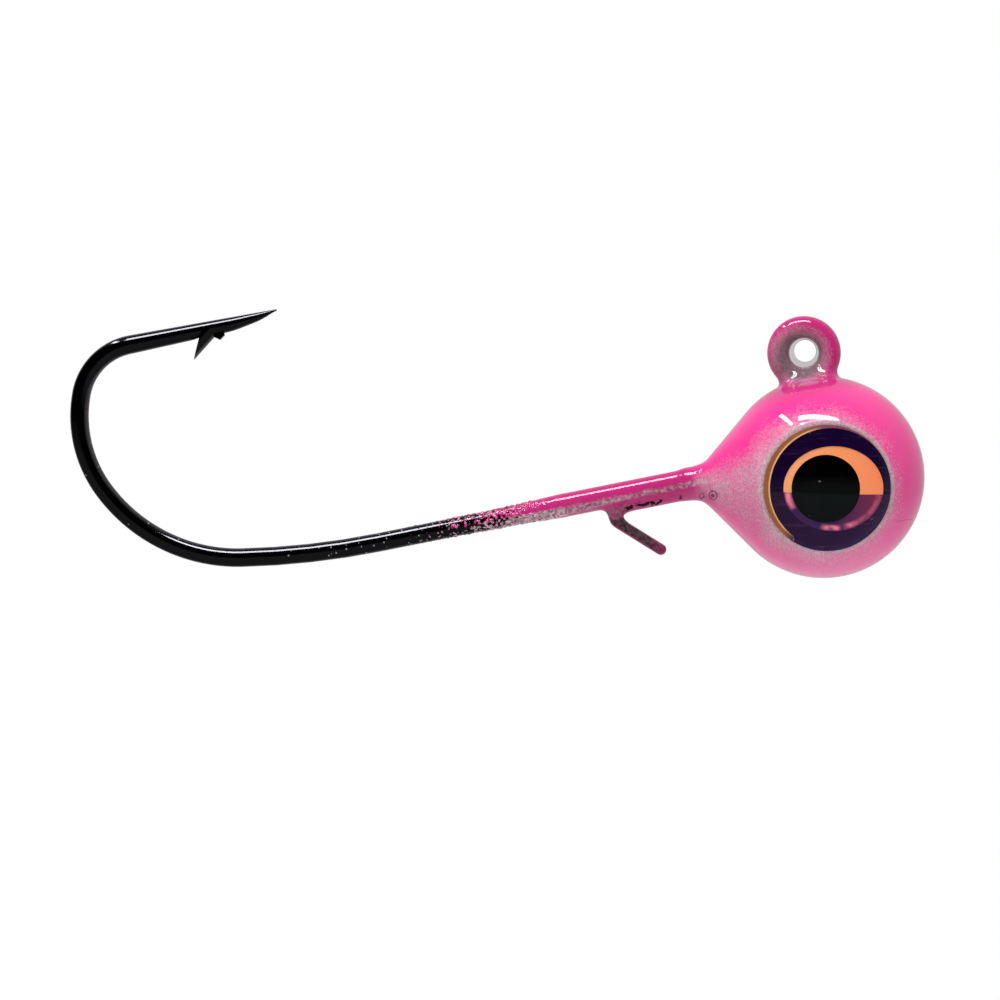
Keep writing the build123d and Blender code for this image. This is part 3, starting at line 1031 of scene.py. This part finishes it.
def build_web(shape):
    """Epoxy that drew into the line tie and left a clear rim round its hole."""
    rim = [
        (WEB_LIP - WEB_EDGE * math.cos(a), WEB_EDGE * math.sin(a))
        for a in np.linspace(-math.pi / 2, math.pi / 2, 9)
    ]
    rim += [(1.2, 0.09), (1.45, 0.16), (1.45, -0.16), (1.2, -0.09)]
    segments = 96
    web = [
        (radius * math.cos(a) + WEB_SHIFT[0], radius * math.sin(a) + WEB_SHIFT[1], height)
        for radius, height in rim for a in np.linspace(0, 2 * math.pi, segments + 1)[:-1]
    ]
    web = make_mesh("tie_web", shape.to_row(web), wrap(len(rim), segments, closed=True))
    dress(web, add_clear("clear_epoxy", "fdf6fa"))
    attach(web, "root")
    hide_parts("clear_coat")


class JIGHEAD_OT_coat(bpy.types.Operator):
    """Build the coats' outer surface over the head, the line tie, the shank and the keeper"""

    bl_idname = "jighead.coat"
    bl_label = "Build Coat"

    def execute(self, context):
        """Net the coat's field, then add the thinning sleeve and the line tie's web."""
        shape = JigShape(context.scene)
        head = shape.head
        x, y, _ = shape.centre
        r = shape.ball + 0.35
        end = -mm(head.coat_full)
        boxes = (
            ((x - r, y - r, -r), (x + r, y + r, r)),
            ((-3.5, -3.5, -1.4), (3.5, 3.5, 1.4)),
            ((-14.5, -15.0, -5.0), (-6.0, -6.0, 5.0)),
            ((end - 0.5, -15.5, -1.6), (-11.5, -6.8, 1.6)),
        )

        def field(points):
            """The coat's field, closed just past the end of the full coat."""
            return np.maximum(coat_field(shape, points), end - points[..., 0])

        points, faces = net_surface(field, boxes, mm(head.net))
        points, normals = settle(lambda p: coat_field(shape, p), points, faces)
        piece = make_mesh("painted_coat", shape.to_row(points), faces)
        piece.data.normals_split_custom_set_from_vertices(shape.to_row(normals).tolist())
        dress(piece, add_paint(shape))
        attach(piece, "root")
        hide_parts("powder_coat")
        build_sleeve(shape)
        build_web(shape)
        return {"FINISHED"}


class JIGHEAD_OT_core(bpy.types.Operator):
    """Give the cast head and the bait keeper inside the coats their metals"""

    bl_idname = "jighead.core"
    bl_label = "Finish Core"

    def execute(self, context):
        """These stay as the frame's own nodes, so only their materials change."""
        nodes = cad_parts
        dress(nodes["lead_head"], add_metal("cast_lead", "7d7f84", 0.5, 0.4))
        dress(nodes["bait_keeper"], add_metal("drawn_steel", "a4a6aa", 0.3, 0.15))
        return {"FINISHED"}


class JIGHEAD_OT_eyes(bpy.types.Operator):
    """Build both eyes: adhesive, foil, printed ring and pupil, and the clear dome"""

    bl_idname = "jighead.eyes"
    bl_label = "Build Eyes"

    def execute(self, context):
        """The flat layers are the frame's own nodes; each dome is built here."""
        shape = JigShape(context.scene)
        eye = shape.eye
        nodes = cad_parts
        foil_top = shape.flat + mm(eye.adhesive) + mm(eye.foil)
        radius, edge, rise = mm(eye.size) / 2, mm(eye.edge), mm(eye.rise)
        sphere = (radius**2 + rise**2) / (2 * rise)
        for name, side in (("right", -1), ("left", 1)):
            dress(nodes[name + "_eye_adhesive"], add_metal(name + "_adhesive", "d8d0cc", 0.6, 0.3))
            dress(nodes[name + "_eye_foil"], add_foil(shape, side))
            dress(
                nodes[name + "_eye_ring_ink"],
                add_ink(name + "_ring_ink", shape, side, eye.ring_upper, eye.ring_ink_reflection, 0.18),
            )
            # The pupil ink is lighter below the split: a painted reflection.
            dress(
                nodes[name + "_eye_pupil_ink"],
                add_ink(name + "_pupil_ink", shape, side, linear("000002"), linear("0c1216"), 0.0),
            )
            # The resin wets the print, so the dome starts just under the foil's face.
            profile = [(0.0, -0.003), (radius - 0.02, -0.003), (radius, 0.02), (radius, edge)]
            widest = math.asin(radius / sphere)
            for a in np.linspace(widest, 0, 33)[1:-1]:
                profile.append((sphere * math.sin(a), edge + rise - sphere * (1 - math.cos(a))))
            profile.append((0.0, edge + rise))
            points, faces = lathe(profile)
            dome = make_mesh(name + "_dome", points, faces)
            dome.data.set_sharp_from_angle(angle=CREASE)
            dome.matrix_world = shape.eye_matrix(side, foil_top)
            dress(dome, add_clear(name + "_eye_resin", "ffffff"))
            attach(dome, "root")
            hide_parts(name + "_eye_dome")
        return {"FINISHED"}


def add_lamp(name, place, aim, size, glow, glossy=True):
    """A soft box of a given brightness; its place, aim and size are in millimetres."""
    lamp = bpy.data.lights.new(name, "AREA")
    lamp.shape = "RECTANGLE"
    lamp.size, lamp.size_y = (v * MM for v in size)
    lamp.energy = glow * math.pi * lamp.size * lamp.size_y
    holder = bpy.data.objects.new(name, lamp)
    bpy.context.scene.collection.objects.link(holder)
    holder.location = Vector(place) * MM
    run = (Vector(aim) - Vector(place)).normalized()
    holder.rotation_euler = run.to_track_quat("-Z", "Y").to_euler()
    holder.visible_camera = False
    holder.visible_glossy = glossy
    return holder


class JIGHEAD_OT_studio(bpy.types.Operator):
    """Lay the pale floor, hang the soft boxes and set the camera"""

    bl_idname = "jighead.studio"
    bl_label = "Set Studio"

    def execute(self, context):
        """Everything here is stage, and none of it is part of the jig head."""
        scene = context.scene
        scene.view_settings.view_transform = "Standard"
        world = bpy.data.worlds.new("soft_surround")
        scene.world = world
        world.use_nodes = True
        world.node_tree.nodes.clear()
        add = partial(add_node, world.node_tree)
        path = add("LightPath")
        # Brighter behind; whoever holds the camera darkens the front.
        place = add("TexCoord")
        levels = []
        for toward, low, high, dark, bright in (
            ((-0.6, 0.8, 0), -0.6, 0.5, 0.2, 0.72),
            (BEHIND, DARKEST, BRIGHTEST, 0.008, 0.6),
        ):
            behind = add("VectorMath.DOT_PRODUCT", (place.outputs["Generated"], toward))
            levels.append(add("MapRange", (behind, low, high, dark, bright)))
        soft, sharp = levels
        level = add("Mix", {"Factor": path.outputs["Is Glossy Ray"], "A": soft, "B": sharp})
        level = add("Math.MAXIMUM", (path.outputs["Is Camera Ray"], level))
        surround = add("Background", {"Color": "ffffff", "Strength": level})
        add("OutputWorld", (surround,))

        signs = ((-1, -1), (1, -1), (1, 1), (-1, 1))
        points = [(x * FLOOR_HALF, y * FLOOR_HALF, -FLOOR_DROP) for x, y in signs]
        floor = make_mesh("floor", points, [(0, 1, 2, 3)])
        material, add = new_material("white_paper")
        path = add("LightPath")
        paper = add("BsdfDiffuse", {"Color": "e4e4e4", "Roughness": 0.5})
        glow = add("Emission", {"Strength": 1.0})
        place = add("TexCoord")
        far = add("VectorMath.LENGTH", (place.outputs["Object"],))
        far = add("MapRange", (far, 0.045, 0.07))
        far = add("Math.MULTIPLY", (far, path.outputs["Is Camera Ray"]))
        # In the gloss the paper is dim close by, and far off it meets the surround's own level.
        shade = add("Math.MULTIPLY", (path.outputs["Is Glossy Ray"], 0.88))
        bearing = add("VectorMath.NORMALIZE", (place.outputs["Object"],))
        bearing = add("VectorMath.DOT_PRODUCT", (bearing, BEHIND))
        level = add("MapRange", (bearing, DARKEST, BRIGHTEST, 0.0, 0.6))
        dim = add("Emission", {"Strength": level})
        mixed = add("MixShader", (shade, paper, dim))
        mixed = add("MixShader", (far, mixed, glow))
        add("OutputMaterial", (mixed,))
        dress(floor, material)

        lamps = [
            add_lamp("near_box", (-33, -170, 319), (0, 0, -10), (250, 45), 18.0),
            add_lamp("far_box", (-33, -113, 342), (0, 0, -10), (250, 45), 18.0),
            add_lamp("left_strip", (-215, -27, 325), (0, 0, -10), (165, 22), 20.0),
            add_lamp("front_fill", (-20, -500, 100), (-20, 0, -10), (400, 400), 0.8, False),
        ]

        camera = bpy.data.cameras.new("camera")
        camera.lens, camera.sensor_width = 157.5, 36.0
        camera.clip_start, camera.clip_end = 0.01, 20.0
        holder = bpy.data.objects.new("camera", camera)
        scene.collection.objects.link(holder)
        holder.location = (-24.32 * MM, -350 * MM, -11.77 * MM)
        holder.rotation_euler = (math.pi / 2, 0, 0)
        scene.camera = holder
        return {"FINISHED"}


class JIGHEAD_PT_panel(bpy.types.Panel):
    """The jig head's sizes, and a button for each operator"""

    bl_idname = "JIGHEAD_PT_panel"
    bl_label = "Jig Head"
    bl_space_type = "VIEW_3D"
    bl_region_type = "UI"
    bl_category = "Jig Head"

    def draw(self, context):
        """One button each, then every property."""
        for operator in OPERATORS:
            self.layout.operator(operator.bl_idname)
        for group in ("jig_hook", "jig_head", "jig_eye"):
            settings = getattr(context.scene, group)
            box = self.layout.box()
            for name in settings.bl_rna.properties.keys():
                if name not in {"rna_type", "name"}:
                    box.prop(settings, name)


OPERATORS = (
    JIGHEAD_OT_hook,
    JIGHEAD_OT_coat,
    JIGHEAD_OT_core,
    JIGHEAD_OT_eyes,
    JIGHEAD_OT_studio,
)
GROUPS = {
    "jig_hook": JigHookSettings,
    "jig_head": JigHeadSettings,
    "jig_eye": JigEyeSettings,
}


def register():
    """Adds the classes and the scene's properties."""
    for kind in (*GROUPS.values(), *OPERATORS, JIGHEAD_PT_panel):
        bpy.utils.register_class(kind)
    for name, kind in GROUPS.items():
        setattr(bpy.types.Scene, name, bpy.props.PointerProperty(type=kind))


def unregister():
    """Takes them away again."""
    for name in GROUPS:
        delattr(bpy.types.Scene, name)
    for kind in reversed((*GROUPS.values(), *OPERATORS, JIGHEAD_PT_panel)):
        bpy.utils.unregister_class(kind)


def main():
    """Builds everything in order."""
    register()
    bpy.ops.jighead.hook()
    bpy.ops.jighead.coat()
    bpy.ops.jighead.core()
    bpy.ops.jighead.eyes()
    bpy.ops.jighead.studio()


if __name__ == "__main__":
    main()
